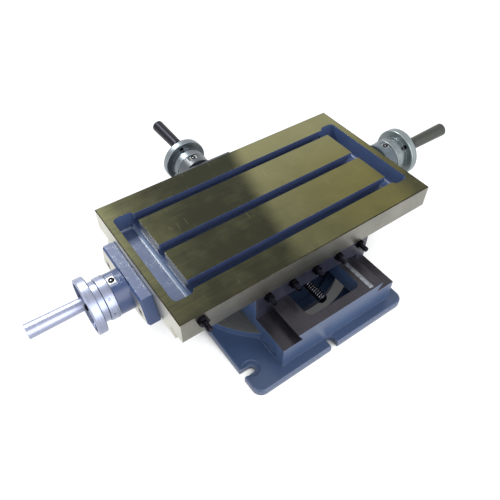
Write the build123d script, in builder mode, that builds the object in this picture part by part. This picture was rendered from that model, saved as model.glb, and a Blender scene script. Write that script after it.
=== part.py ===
from build123d import *
import os
from math import cos, radians, sin, tan

os.makedirs("parts", exist_ok=True)

# Cross slide table: a base with a dovetail way, a saddle across it and a T-slotted table.
# Millimetres. X runs along the table, Y along the base, Z is up.
# The origin is the centre of the base underside, below the crossing of the two screws.

# Base casting
base_width = 213.0
base_length = 377.0
plate_thick = 12.0
plate_margin_left = 53.5
plate_margin_right = 20.5
plate_margin_ends = 16.5
plate_corner_r = 15.0
plate_edge_r = 3.0
pad_radius = 168.0
pad_height = 12.0
pad_inset = 4.0
body_height = 41.0
way_rise = 16.0
way_shelf = 34.5
window_wall = 23.0
side_wall = 14.0
end_wall = 16.0
roof_thick = 16.0
cavity_corner_r = 10.0
dovetail_angle = 60.0
ring_gap_inner_r = 128.0
ring_gap_outer_r = 147.0
well_r = 114.0
well_floor = 5.0
panel_depth = 3.0
panel_corner_r = 8.0
panel_end = 15.5
panel_lip = 2.0
panel_rim = 4.0

# Hold-down notches in the plate
notch_width = 13.0
notch_depth = 22.0
notch_corner_y = 165.0
front_notch_x = -20.0
rear_notch_x = 92.0
spot_face_r = 13.5
spot_face_depth = 2.0

# Scale strip let into the base dovetail
scale_width = 7.0
scale_thick = 1.0
scale_length = 300.0
scale_inset = 3.5
scale_margin = 11.0
rivet_r = 1.5
rivet_length = 6.0
rivet_inset = 8.0

# Saddle casting
saddle_overlap = 0.5
saddle_inset = 1.5
saddle_height = 50.0
saddle_corner_r = 3.0
x_groove_depth = 17.0

# Table casting
table_length = 450.0
table_width = 251.0
table_thick = 38.0
table_edge = 0.8
table_shelf = 30.5
slot_pitch = 77.0
slot_throat = 16.0
slot_lip = 11.0
slot_head_width = 28.0
slot_depth = 22.0
gutter_left_start = 12.0
gutter_left_end = 44.0
gutter_right_start = 12.0
gutter_right_end = 40.0
gutter_half_y = 91.0
gutter_depth = 31.0
gutter_corner_r = 8.0
gutter_floor_r = 5.0
land_ledge = 1.5
channel_width = 36.0
channel_length = 340.0
channel_height = 27.0
journal_slot_gap = 1.0

# Gibs and their screws
gib_width = 7.0
gib_end_clear = 1.0
gib_screw_r = 4.0
gib_screw_out = 17.0
gib_socket_flats = 4.0
gib_socket_depth = 4.0
gib_nut_flats = 13.0
gib_nut_thick = 6.5
x_gib_pitch = 43.5
x_gib_count = 5
y_gib_pitch = 58.0
y_gib_count = 4

# Screws and nuts
screw_r = 8.0
journal_r = 6.0
x_screw_drop = 4.5
y_screw_drop = 7.0
thread_end_clear = 5.0
screw_tip_r = 2.5
y_screw_overhang = 21.5
collar_r = 11.0
collar_thick = 5.0
nut_length = 40.0
nut_width = 28.0
y_nut_width = 40.0
y_nut_length = 36.0
nut_wall = 11.0
y_nut_offset = -45.0
nut_screw_r = 3.0
nut_screw_half_pitch = 12.0
nut_screw_head_r = 5.0
nut_screw_head = 6.0
nut_screw_grip = 12.0
nut_corner_r = 6.0

# End brackets, measured outward from the face that carries them
flange_thick = 19.0
flange_offset = -8.0
flange_top = 25.5
flange_mid = -16.0
flange_bottom = -30.0
flange_top_half = 58.5
flange_mid_half = 73.0
flange_bottom_half = 40.0
flange_edge = 2.7
flange_foot_edge = 0.8
boss_r = 31.0
boss_end = 41.0
oil_flat_depth = 2.0
oil_flat_length = 12.0
oiler_r = 3.5
oiler_head_r = 4.5
oiler_rise = 1.2
oiler_edge = 0.6
bush_wall = 3.0
bracket_screw_r = 4.0
bracket_screw_half = 50.5
bracket_screw_drop = 7.5
bracket_screw_length = 26.0
cap_head_r = 6.5
cap_head_height = 8.0
cap_socket_flats = 6.0
cap_socket_depth = 4.0
washer_thick = 1.0
washer_r = 18.0

# Dials and handwheels
dial_r = 32.0
dial_length = 14.0
dial_bore_r = 20.0
dial_edge = 0.8
hub_r = 30.0
hub_length = 9.5
rim_r = 42.0
rim_width = 13.5
rim_wall = 5.0
rim_edge_r = 2.0
face_recess = 4.0
crank_r = 32.0
crank_boss_r = 10.5
set_screw_r = 3.0
set_screw_length = 16.0
set_screw_socket = 3.0
end_screw_r = 3.0
end_screw_head_r = 5.0
end_screw_head = 3.6
end_screw_flats = 5.0
end_screw_socket = 1.8
end_washer_r = 8.0
end_screw_length = 14.0

# Revolving handles
handle_length = 79.0
handle_root_r = 10.2
handle_tip_r = 11.4
handle_edge = 0.6
handle_bolt_r = 4.0
handle_head_r = 6.0
handle_head = 3.0
handle_head_edge = 0.75
handle_recess = 4.0
left_crank_angle = 219.0
right_crank_angle = 128.0
rear_crank_angle = 78.0

# Stop stud on the front of the table
stop_inset = 31.5
stop_drop = 11.5
stop_r = 4.0
stop_edge = 0.8
stop_out = 20.0
stop_depth = 18.0
stop_nut_flats = 14.0
stop_nut_thick = 7.0

# Clearances
slide_gap = 0.05
roof_gap = 0.4
running_gap = 0.05
seat_gap = 0.02
free_gap = 0.3
hole_gap = 0.5

# Heights and outlines that follow from the sizes above
way_slope = tan(radians(dovetail_angle))
way_root_width = base_width - 2 * way_shelf
window_width = way_root_width - 2 * window_wall
saddle_width = base_width + 2 * saddle_overlap
saddle_length = table_width - 2 * saddle_inset
table_root_width = table_width - 2 * table_shelf
way_flat_z = plate_thick + body_height
way_top_z = way_flat_z + way_rise
saddle_top = way_flat_z + saddle_height
table_top = saddle_top + table_thick
x_floor_z = saddle_top - x_groove_depth
y_roof_z = way_top_z + roof_gap
table_foot_z = x_floor_z + roof_gap
x_screw_z = saddle_top - x_screw_drop
y_screw_z = way_flat_z - y_screw_drop
plate_left = -base_width / 2 - plate_margin_left
plate_right = base_width / 2 + plate_margin_right
plate_end = base_length / 2 + plate_margin_ends
way_root = way_root_width / 2
table_root = table_root_width / 2
cavity_half_y = base_length / 2 - end_wall
scale_x = way_root - scale_margin
bush_r = journal_r + running_gap + bush_wall
slot_start = -table_length / 2 + gutter_left_end
slot_end = table_length / 2 - gutter_right_end
slot_ys = [-slot_pitch, 0, slot_pitch]


def keep(piece, node):
    """Labels a finished piece and writes it."""
    piece.part.label = node
    export_step(piece.part, f"parts/{node}.step")


def side_of(station):
    """The plane through a station's axis: radius to the right, distance outward upward."""
    return Plane(station.origin, x_dir=station.x_dir, z_dir=-station.y_dir)


def axis_of(station):
    return Axis(station.origin, station.z_dir)


def crank_point(angle):
    """Where the handle of a handwheel stands, in the station's own plane."""
    return (crank_r * cos(radians(angle)), crank_r * sin(radians(angle)))


def way_x(z):
    """Half width of the base dovetail at height z."""
    return way_root + (z - way_flat_z) / way_slope


def table_y(z):
    """Half width of the table dovetail at height z."""
    return table_root + (saddle_top - z) / way_slope


left_station = Plane((-table_length / 2, 0, x_screw_z), x_dir=(0, -1, 0), z_dir=(-1, 0, 0))
right_station = Plane((table_length / 2, 0, x_screw_z), x_dir=(0, 1, 0), z_dir=(1, 0, 0))
rear_station = Plane((0, base_length / 2, y_screw_z), x_dir=(-1, 0, 0), z_dir=(0, 1, 0))
stations = {"left": left_station, "right": right_station, "rear": rear_station}
crank_angles = {"left": left_crank_angle, "right": right_crank_angle, "rear": rear_crank_angle}

# Outward distances along a station's axis
washer_end = boss_end + washer_thick
spigot_end = boss_end + free_gap + dial_length + free_gap
rim_start = spigot_end + hub_length
rim_end = rim_start + rim_width
web_end = rim_end - face_recess
journal_end = web_end - free_gap
bracket_screw_places = [
    (flange_offset - bracket_screw_half, -bracket_screw_drop),
    (flange_offset + bracket_screw_half, -bracket_screw_drop),
]


# Base: plate, turned pad, hollow body and dovetail way in one casting
plate_size_x = plate_right - plate_left
plate_centre = ((plate_left + plate_right) / 2, 0)
rear_wall_bore_r = collar_r + free_gap + hole_gap
panel_height = body_height - panel_lip - panel_rim
panel_z = plate_thick + panel_lip + panel_height / 2
with BuildPart() as base:
    with BuildSketch():
        with Locations(plate_centre):
            RectangleRounded(plate_size_x, 2 * plate_end, plate_corner_r)
    extrude(amount=plate_thick)
    fillet(base.edges().group_by(Axis.Z)[-1], radius=plate_edge_r)
    with BuildSketch(Plane.XZ):
        with BuildLine():
            Polyline(
                (-base_width / 2, plate_thick),
                (base_width / 2, plate_thick),
                (base_width / 2, way_flat_z),
                (way_root, way_flat_z),
                (way_x(way_top_z), way_top_z),
                (-way_x(way_top_z), way_top_z),
                (-way_root, way_flat_z),
                (-base_width / 2, way_flat_z),
                close=True,
            )
        make_face()
    extrude(amount=base_length / 2, both=True)
    # Shallow panel in each side, between two corner posts and a thin rim
    for side in (-1, 1):
        with BuildSketch(Plane.YZ.offset(side * base_width / 2)):
            with Locations((0, panel_z)):
                RectangleRounded(base_length - 2 * panel_end, panel_height, panel_corner_r)
        extrude(amount=-side * panel_depth, mode=Mode.SUBTRACT)
    # The round pad is cut off where the plate ends
    with BuildSketch(Plane.XY.offset(plate_thick)):
        Circle(pad_radius)
        with Locations(plate_centre):
            Rectangle(plate_size_x - 2 * pad_inset, 2 * plate_end, mode=Mode.INTERSECT)
    extrude(amount=pad_height)
    # Window between the ways, and the wider hollow under the roof
    with BuildSketch(Plane.XY.offset(way_top_z)):
        RectangleRounded(window_width, 2 * cavity_half_y, cavity_corner_r)
    extrude(amount=plate_thick - way_top_z, mode=Mode.SUBTRACT)
    with BuildSketch(Plane.XY.offset(way_flat_z - roof_thick)):
        RectangleRounded(base_width - 2 * side_wall, 2 * cavity_half_y, cavity_corner_r)
    extrude(amount=plate_thick + roof_thick - way_flat_z, mode=Mode.SUBTRACT)
    # The bottom is a well inside a ring, with a curved gap through the plate at each end
    with BuildSketch(Plane.XY.offset(plate_thick)):
        Circle(well_r)
        RectangleRounded(
            base_width - 2 * side_wall, 2 * cavity_half_y, cavity_corner_r, mode=Mode.INTERSECT
        )
    extrude(amount=well_floor - plate_thick, mode=Mode.SUBTRACT)
    with BuildSketch():
        Circle(ring_gap_outer_r)
        Circle(ring_gap_inner_r, mode=Mode.SUBTRACT)
        RectangleRounded(
            base_width - 2 * side_wall, 2 * cavity_half_y, cavity_corner_r, mode=Mode.INTERSECT
        )
    extrude(amount=plate_thick, mode=Mode.SUBTRACT)
    # Hold-down notches: two in the wide left margin, one at each end
    with BuildSketch():
        for side in (-1, 1):
            with Locations((plate_left, side * notch_corner_y)):
                SlotCenterToCenter(2 * (notch_depth - notch_width / 2), notch_width)
            notch_x = front_notch_x if side < 0 else rear_notch_x
            with Locations((notch_x, side * plate_end)):
                SlotCenterToCenter(2 * (plate_margin_ends - notch_width / 2), notch_width, rotation=90)
    extrude(amount=plate_thick, mode=Mode.SUBTRACT)
    with BuildSketch(Plane.XY.offset(plate_thick)):
        notch_centre = plate_left + notch_depth - notch_width / 2
        with Locations((notch_centre, -notch_corner_y), (notch_centre, notch_corner_y)):
            Circle(spot_face_r)
    extrude(amount=-spot_face_depth, mode=Mode.SUBTRACT)
    # Seat of the scale strip and its rivet holes
    scale_start = -base_length / 2 + scale_inset
    scale_centre = (scale_x, scale_start + scale_length / 2)
    rivet_half = scale_length / 2 - rivet_inset
    rivet_places = [(scale_x, scale_centre[1] + k * rivet_half) for k in (-1, 0, 1)]
    with BuildSketch(Plane.XY.offset(way_top_z)):
        with Locations(scale_centre):
            Rectangle(scale_width + 2 * seat_gap, scale_length + 2 * seat_gap)
    extrude(amount=-scale_thick, mode=Mode.SUBTRACT)
    with BuildSketch(Plane.XY.offset(way_top_z)):
        with Locations(*rivet_places):
            Circle(rivet_r + seat_gap)
    extrude(amount=-rivet_length, mode=Mode.SUBTRACT)
    # Rear wall: clearance for the screw collar and threads for the bracket screws
    with BuildSketch(rear_station):
        Circle(rear_wall_bore_r)
        with Locations(*bracket_screw_places):
            Circle(bracket_screw_r + seat_gap)
    extrude(amount=-end_wall, mode=Mode.SUBTRACT)
keep(base, "base")

with BuildPart() as y_scale:
    with BuildSketch(Plane.XY.offset(way_top_z - scale_thick)):
        with Locations(scale_centre):
            Rectangle(scale_width, scale_length)
        with Locations(*rivet_places):
            Circle(rivet_r + seat_gap, mode=Mode.SUBTRACT)
    extrude(amount=scale_thick)
keep(y_scale, "y_scale")

with BuildPart() as y_scale_rivets:
    with BuildSketch(Plane.XY.offset(way_top_z)):
        with Locations(*rivet_places):
            Circle(rivet_r)
    extrude(amount=-rivet_length)
keep(y_scale_rivets, "y_scale_rivets")


# Saddle: block with a dovetail groove along X on top and one along Y underneath
gib_room = gib_width + 2 * slide_gap
x_gib_z = (saddle_top + x_floor_z) / 2
y_gib_z = (way_flat_z + y_roof_z) / 2
x_gib_xs = [(k - (x_gib_count - 1) / 2) * x_gib_pitch for k in range(x_gib_count)]
y_gib_ys = [(k - (y_gib_count - 1) / 2) * y_gib_pitch for k in range(y_gib_count)]
front_face = Plane((0, -saddle_length / 2, x_gib_z), x_dir=(1, 0, 0), z_dir=(0, -1, 0))
right_face = Plane((saddle_width / 2, 0, y_gib_z), x_dir=(0, 1, 0), z_dir=(1, 0, 0))
x_gib_places = [(x, 0) for x in x_gib_xs]
y_gib_places = [(y, 0) for y in y_gib_ys]
x_nut_screws_at = [(-nut_screw_half_pitch, 0), (nut_screw_half_pitch, 0)]
y_nut_screws_at = [(-nut_screw_half_pitch, y_nut_offset), (nut_screw_half_pitch, y_nut_offset)]
head_room = nut_screw_head + hole_gap
with BuildPart() as saddle:
    with BuildSketch(Plane.XY.offset(way_flat_z)):
        RectangleRounded(saddle_width, saddle_length, saddle_corner_r)
    extrude(amount=saddle_height)
    with BuildSketch(Plane.YZ):
        with BuildLine():
            Polyline(
                (table_y(saddle_top) + slide_gap, saddle_top),
                (table_y(x_floor_z) + slide_gap, x_floor_z),
                (-table_y(x_floor_z) - gib_room, x_floor_z),
                (-table_y(saddle_top) - gib_room, saddle_top),
                close=True,
            )
        make_face()
    extrude(amount=saddle_width / 2, both=True, mode=Mode.SUBTRACT)
    with BuildSketch(Plane.XZ):
        with BuildLine():
            Polyline(
                (-way_x(way_flat_z) - slide_gap, way_flat_z),
                (-way_x(y_roof_z) - slide_gap, y_roof_z),
                (way_x(y_roof_z) + gib_room, y_roof_z),
                (way_x(way_flat_z) + gib_room, way_flat_z),
                close=True,
            )
        make_face()
    extrude(amount=saddle_length / 2, both=True, mode=Mode.SUBTRACT)
    # Tapped holes for the gib screws
    with BuildSketch(front_face):
        with Locations(*x_gib_places):
            Circle(gib_screw_r + seat_gap)
    extrude(amount=table_root - saddle_length / 2, mode=Mode.SUBTRACT)
    with BuildSketch(right_face):
        with Locations(*y_gib_places):
            Circle(gib_screw_r + seat_gap)
    extrude(amount=way_root - saddle_width / 2, mode=Mode.SUBTRACT)
    # Screws of the two nuts pass the web, their heads sunk in its far side
    with BuildSketch(Plane.XY.offset(y_roof_z)):
        with Locations(*x_nut_screws_at, *y_nut_screws_at):
            Circle(nut_screw_r + hole_gap)
    extrude(amount=x_floor_z - y_roof_z, mode=Mode.SUBTRACT)
    with BuildSketch(Plane.XY.offset(y_roof_z)):
        with Locations(*x_nut_screws_at):
            Circle(nut_screw_head_r + hole_gap)
    extrude(amount=head_room, mode=Mode.SUBTRACT)
    with BuildSketch(Plane.XY.offset(x_floor_z)):
        with Locations(*y_nut_screws_at):
            Circle(nut_screw_head_r + hole_gap)
    extrude(amount=-head_room, mode=Mode.SUBTRACT)
keep(saddle, "saddle")

# Gibs: parallel strips between a dovetail flank and the saddle
with BuildPart() as x_gib:
    with BuildSketch(Plane.YZ):
        with BuildLine():
            Polyline(
                (-table_y(table_foot_z) - slide_gap, table_foot_z),
                (-table_y(saddle_top - roof_gap) - slide_gap, saddle_top - roof_gap),
                (-table_y(saddle_top - roof_gap) - slide_gap - gib_width, saddle_top - roof_gap),
                (-table_y(table_foot_z) - slide_gap - gib_width, table_foot_z),
                close=True,
            )
        make_face()
    extrude(amount=saddle_width / 2 - gib_end_clear, both=True)
keep(x_gib, "x_gib")

with BuildPart() as y_gib:
    with BuildSketch(Plane.XZ):
        with BuildLine():
            Polyline(
                (way_x(way_flat_z + roof_gap) + slide_gap, way_flat_z + roof_gap),
                (way_x(way_top_z) + slide_gap, way_top_z),
                (way_x(way_top_z) + slide_gap + gib_width, way_top_z),
                (way_x(way_flat_z + roof_gap) + slide_gap + gib_width, way_flat_z + roof_gap),
                close=True,
            )
        make_face()
    extrude(amount=saddle_length / 2 - gib_end_clear, both=True)
keep(y_gib, "y_gib")


def make_gib_screws(face, places, reach, flank, node):
    """Set screws from a saddle face at a given reach to the slanting flank of a gib."""
    depth = reach - flank - gib_screw_r / way_slope - slide_gap - running_gap
    with BuildPart() as gib_screws:
        with BuildSketch(face.offset(-depth)):
            with Locations(*places):
                Circle(gib_screw_r)
        extrude(amount=depth + gib_screw_out)
        with BuildSketch(face.offset(gib_screw_out)):
            with Locations(*places):
                RegularPolygon(gib_socket_flats / 2, 6, major_radius=False)
        extrude(amount=-gib_socket_depth, mode=Mode.SUBTRACT)
    keep(gib_screws, f"{node}_screws")
    with BuildPart() as gib_nuts:
        with BuildSketch(face):
            with Locations(*places):
                RegularPolygon(gib_nut_flats / 2, 6, major_radius=False)
                Circle(gib_screw_r + seat_gap, mode=Mode.SUBTRACT)
        extrude(amount=gib_nut_thick)
    keep(gib_nuts, f"{node}_nuts")


x_gib_flank = table_y(x_gib_z) + gib_width
y_gib_flank = way_x(y_gib_z) + gib_width
make_gib_screws(front_face, x_gib_places, saddle_length / 2, x_gib_flank, "x_gib")
make_gib_screws(right_face, y_gib_places, saddle_width / 2, y_gib_flank, "y_gib")

# Nuts: blocks screwed to the saddle web, one standing up and one hanging down
with BuildPart() as x_nut:
    with BuildSketch(Plane.YZ):
        with BuildLine():
            Polyline(
                (-nut_width / 2, x_floor_z),
                (nut_width / 2, x_floor_z),
                (nut_width / 2, x_screw_z + nut_wall),
                (-nut_width / 2, x_screw_z + nut_wall),
                close=True,
            )
        make_face()
        with Locations((0, x_screw_z)):
            Circle(screw_r + running_gap, mode=Mode.SUBTRACT)
    extrude(amount=nut_length / 2, both=True)
    fillet(x_nut.edges().filter_by(Axis.X).group_by(Axis.Z)[-1], radius=nut_corner_r)
    with BuildSketch(Plane.XY.offset(x_floor_z)):
        with Locations(*x_nut_screws_at):
            Circle(nut_screw_r + seat_gap)
    extrude(amount=x_screw_z - screw_r - x_floor_z, mode=Mode.SUBTRACT)
keep(x_nut, "x_nut")

y_nut_face = Plane.XZ.offset(-y_nut_offset)
with BuildPart() as y_nut:
    with BuildSketch(y_nut_face):
        with BuildLine():
            Polyline(
                (-y_nut_width / 2, y_roof_z),
                (y_nut_width / 2, y_roof_z),
                (y_nut_width / 2, y_screw_z - nut_wall),
                (-y_nut_width / 2, y_screw_z - nut_wall),
                close=True,
            )
        make_face()
        with Locations((0, y_screw_z)):
            Circle(screw_r + running_gap, mode=Mode.SUBTRACT)
    extrude(amount=y_nut_length / 2, both=True)
    fillet(y_nut.edges().filter_by(Axis.Y).group_by(Axis.Z)[0], radius=nut_corner_r)
    with BuildSketch(Plane.XY.offset(y_roof_z)):
        with Locations(*y_nut_screws_at):
            Circle(nut_screw_r + seat_gap)
    extrude(amount=-nut_screw_grip, mode=Mode.SUBTRACT)
keep(y_nut, "y_nut")

x_nut_grip = x_screw_z - screw_r - running_gap - hole_gap - x_floor_z
with BuildPart() as x_nut_screws:
    with BuildSketch(Plane.XY.offset(y_roof_z + hole_gap)):
        with Locations(*x_nut_screws_at):
            Circle(nut_screw_head_r)
    extrude(amount=nut_screw_head)
    with BuildSketch(Plane.XY.offset(y_roof_z + head_room)):
        with Locations(*x_nut_screws_at):
            Circle(nut_screw_r)
    extrude(amount=x_floor_z + x_nut_grip - y_roof_z - head_room)
keep(x_nut_screws, "x_nut_screws")

with BuildPart() as y_nut_screws:
    with BuildSketch(Plane.XY.offset(x_floor_z - hole_gap)):
        with Locations(*y_nut_screws_at):
            Circle(nut_screw_head_r)
    extrude(amount=-nut_screw_head)
    with BuildSketch(Plane.XY.offset(x_floor_z - head_room)):
        with Locations(*y_nut_screws_at):
            Circle(nut_screw_r)
    extrude(amount=y_roof_z - nut_screw_grip + hole_gap - x_floor_z + head_room)
keep(y_nut_screws, "y_nut_screws")


# Table: slab with three T-slots between two chip gutters, dovetail and screw channel below
gutter_left_wall = -table_length / 2 + gutter_left_start
gutter_right_wall = table_length / 2 - gutter_right_start
gutter_floor_z = table_top - gutter_depth
cast_pockets = [
    (gutter_left_wall, slot_start - land_ledge),
    (slot_end + land_ledge, gutter_right_wall),
]
machined_pockets = [(gutter_left_wall, slot_start), (slot_end, gutter_right_wall)]
stop_place = (-table_length / 2 + stop_inset, table_top - stop_drop)
table_front = Plane((0, -table_width / 2, 0), x_dir=(1, 0, 0), z_dir=(0, -1, 0))
journal_room = journal_r + journal_slot_gap
with BuildPart() as table:
    with BuildSketch(Plane.YZ):
        with BuildLine():
            Polyline(
                (-table_width / 2, table_top),
                (-table_width / 2, saddle_top),
                (-table_root, saddle_top),
                (-table_y(table_foot_z), table_foot_z),
                (table_y(table_foot_z), table_foot_z),
                (table_root, saddle_top),
                (table_width / 2, saddle_top),
                (table_width / 2, table_top),
                close=True,
            )
        make_face()
    extrude(amount=table_length / 2, both=True)
    chamfer(table.edges().group_by(Axis.Z)[-1], length=table_edge)
    # Cast pockets with rounded floors, then the machined ends of the lands above them
    for start, end in cast_pockets:
        with BuildSketch(Plane.XY.offset(table_top)):
            with Locations(((start + end) / 2, 0)):
                RectangleRounded(end - start, 2 * gutter_half_y, gutter_corner_r)
        extrude(amount=-gutter_depth, mode=Mode.SUBTRACT)
    fillet(
        table.edges().filter_by(lambda edge: abs(edge.center().Z - gutter_floor_z) < slide_gap),
        radius=gutter_floor_r,
    )
    for start, end in machined_pockets:
        with BuildSketch(Plane.XY.offset(table_top)):
            with Locations(((start + end) / 2, 0)):
                RectangleRounded(end - start, 2 * gutter_half_y, gutter_corner_r)
        extrude(amount=-slot_depth, mode=Mode.SUBTRACT)
    # T-slots run from gutter to gutter
    with BuildSketch(Plane.YZ.offset(slot_start - land_ledge)):
        with Locations(*[(y, table_top - slot_depth) for y in slot_ys]):
            Rectangle(slot_throat, slot_depth, align=(Align.CENTER, Align.MIN))
            Rectangle(slot_head_width, slot_depth - slot_lip, align=(Align.CENTER, Align.MIN))
    extrude(amount=slot_end - slot_start + 2 * land_ledge, mode=Mode.SUBTRACT)
    # Underside: channel for the nut, narrow round-topped slots for the journals
    with BuildSketch(Plane.XY.offset(table_foot_z)):
        Rectangle(channel_length, channel_width)
    extrude(amount=channel_height, mode=Mode.SUBTRACT)
    with BuildSketch(Plane.YZ):
        with Locations((0, x_screw_z)):
            Circle(journal_room)
            Rectangle(
                2 * journal_room,
                x_screw_z - table_foot_z,
                align=(Align.CENTER, Align.MAX),
            )
    extrude(amount=table_length / 2, both=True, mode=Mode.SUBTRACT)
    # Threads for the bracket screws and the stop stud
    for end in (left_station, right_station):
        with BuildSketch(end):
            with Locations(*bracket_screw_places):
                Circle(bracket_screw_r + seat_gap)
        extrude(amount=-bracket_screw_length, mode=Mode.SUBTRACT)
    with BuildSketch(table_front):
        with Locations(stop_place):
            Circle(stop_r + seat_gap)
    extrude(amount=-stop_depth, mode=Mode.SUBTRACT)
keep(table, "table")

with BuildPart() as stop_stud:
    with BuildSketch(table_front.offset(-stop_depth)):
        with Locations(stop_place):
            Circle(stop_r)
    extrude(amount=stop_depth + stop_out)
    chamfer(stop_stud.edges().group_by(Axis.Y)[0], length=stop_edge)
keep(stop_stud, "stop_stud")

with BuildPart() as stop_nut:
    with BuildSketch(table_front):
        with Locations(stop_place):
            RegularPolygon(stop_nut_flats / 2, 6, major_radius=False)
            Circle(stop_r + seat_gap, mode=Mode.SUBTRACT)
    extrude(amount=stop_nut_thick)
keep(stop_nut, "stop_nut")


# Lead screws
x_thread_half = channel_length / 2 - thread_end_clear
with BuildPart() as x_leadscrew:
    with BuildSketch(Plane.YZ):
        with Locations((0, x_screw_z)):
            Circle(screw_r)
    extrude(amount=x_thread_half, both=True)
    with BuildSketch(Plane.YZ):
        with Locations((0, x_screw_z)):
            Circle(journal_r)
    extrude(amount=table_length / 2 + journal_end, both=True)
    for end in (left_station, right_station):
        with BuildSketch(end.offset(journal_end)):
            Circle(end_screw_r + seat_gap)
        extrude(amount=-end_screw_length, mode=Mode.SUBTRACT)
keep(x_leadscrew, "x_leadscrew")

y_screw_front = cavity_half_y - y_screw_overhang
y_screw_inside = collar_thick + washer_thick
with BuildPart() as y_leadscrew:
    with BuildSketch(rear_station.offset(-y_screw_inside)):
        Circle(screw_r)
    extrude(amount=y_screw_inside - base_length / 2 - y_screw_front)
    chamfer(y_leadscrew.edges().group_by(Axis.Y)[0], length=screw_tip_r)
    with BuildSketch(rear_station.offset(-y_screw_inside)):
        Circle(collar_r)
    extrude(amount=collar_thick)
    with BuildSketch(rear_station.offset(-washer_thick)):
        Circle(journal_r)
    extrude(amount=journal_end + washer_thick)
    with BuildSketch(rear_station.offset(journal_end)):
        Circle(end_screw_r + seat_gap)
    extrude(amount=-end_screw_length, mode=Mode.SUBTRACT)
keep(y_leadscrew, "y_leadscrew")


# What every handwheel station is made of
def make_bracket(name, station):
    """Flange with a bored boss for the bush, and an oiling flat on top of the boss."""
    with BuildPart() as bracket:
        with BuildSketch(station):
            with BuildLine():
                Polyline(
                    (flange_offset - flange_top_half, flange_top),
                    (flange_offset + flange_top_half, flange_top),
                    (flange_offset + flange_mid_half, flange_mid),
                    (flange_offset + flange_bottom_half, flange_bottom),
                    (flange_offset - flange_bottom_half, flange_bottom),
                    (flange_offset - flange_mid_half, flange_mid),
                    close=True,
                )
            make_face()
        extrude(amount=flange_thick)
        outer_face = bracket.faces().sort_by(axis_of(station))[-1]
        chamfer(outer_face.edges(), length=flange_edge)
        foot_face = bracket.faces().sort_by(axis_of(station))[0]
        chamfer(foot_face.edges(), length=flange_foot_edge)
        with BuildSketch(station.offset(flange_thick)):
            Circle(boss_r)
        extrude(amount=boss_end - flange_thick)
        # The flat for the oiler, next to the dial
        with BuildSketch(station.offset(boss_end)):
            with Locations((0, boss_r - oil_flat_depth)):
                Rectangle(2 * boss_r, boss_r, align=(Align.CENTER, Align.MIN))
        extrude(amount=-oil_flat_length, mode=Mode.SUBTRACT)
        with BuildSketch(station):
            Circle(bush_r + seat_gap)
        extrude(amount=boss_end, mode=Mode.SUBTRACT)
        with BuildSketch(station):
            with Locations(*bracket_screw_places):
                Circle(bracket_screw_r + hole_gap)
        extrude(amount=flange_thick, mode=Mode.SUBTRACT)
        with BuildSketch(station.offset(flange_thick)):
            with Locations(*bracket_screw_places):
                Circle(cap_head_r + hole_gap)
        extrude(amount=-cap_head_height, mode=Mode.SUBTRACT)
        with BuildSketch(oiler_plane(station)):
            Circle(oiler_r + seat_gap)
        extrude(amount=bush_r + hole_gap - boss_r + oil_flat_depth, mode=Mode.SUBTRACT)
    keep(bracket, f"{name}_bracket")


def oiler_plane(station):
    """The flat on top of the boss, at the oiler."""
    centre = station.from_local_coords(
        Vector(0, boss_r - oil_flat_depth, boss_end - oil_flat_length / 2)
    )
    return Plane(centre, x_dir=station.x_dir, z_dir=(0, 0, 1))


def make_bracket_screws(name, station):
    with BuildPart() as screws:
        with BuildSketch(station.offset(flange_thick)):
            with Locations(*bracket_screw_places):
                Circle(cap_head_r)
        extrude(amount=-cap_head_height)
        with BuildSketch(station.offset(flange_thick)):
            with Locations(*bracket_screw_places):
                RegularPolygon(cap_socket_flats / 2, 6, major_radius=False)
        extrude(amount=-cap_socket_depth, mode=Mode.SUBTRACT)
        with BuildSketch(station.offset(flange_thick - cap_head_height)):
            with Locations(*bracket_screw_places):
                Circle(bracket_screw_r)
        shank_room = bracket_screw_length if name != "rear" else end_wall
        extrude(amount=cap_head_height - flange_thick - shank_room + hole_gap)
    keep(screws, f"{name}_bracket_screws")


def make_bush(name, station):
    with BuildPart() as bush:
        with BuildSketch(station):
            Circle(bush_r)
            Circle(journal_r + running_gap, mode=Mode.SUBTRACT)
        extrude(amount=boss_end)
    keep(bush, f"{name}_bush")


def make_oiler(name, station):
    """Push-in ball oiler: body in the boss, low domed head on the flat."""
    plane = oiler_plane(station)
    with BuildPart() as oiler:
        with BuildSketch(plane):
            Circle(oiler_r)
        extrude(amount=bush_r + hole_gap - boss_r + oil_flat_depth)
        with BuildSketch(plane):
            Circle(oiler_head_r)
        extrude(amount=oiler_rise)
        chamfer(oiler.edges().group_by(Axis.Z)[-1], length=oiler_edge)
    keep(oiler, f"{name}_oiler")


def make_thrust_washers(name, station):
    """One washer outside the boss; the rear screw has one inside as well."""
    with BuildPart() as washers:
        with BuildSketch(station.offset(boss_end)):
            Circle(washer_r)
            Circle(journal_r + running_gap, mode=Mode.SUBTRACT)
        extrude(amount=washer_thick)
        if name == "rear":
            with BuildSketch(station):
                Circle(collar_r)
                Circle(journal_r + running_gap, mode=Mode.SUBTRACT)
            extrude(amount=-washer_thick)
    keep(washers, f"{name}_thrust_washers")


def make_dial(name, station):
    with BuildPart() as dial:
        with BuildSketch(station.offset(boss_end + free_gap)):
            Circle(dial_r)
            Circle(dial_bore_r + running_gap, mode=Mode.SUBTRACT)
        extrude(amount=dial_length)
        outer_edges = dial.edges().filter_by(GeomType.CIRCLE).group_by(SortBy.RADIUS)[-1]
        chamfer(outer_edges, length=dial_edge)
    keep(dial, f"{name}_dial")


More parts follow.
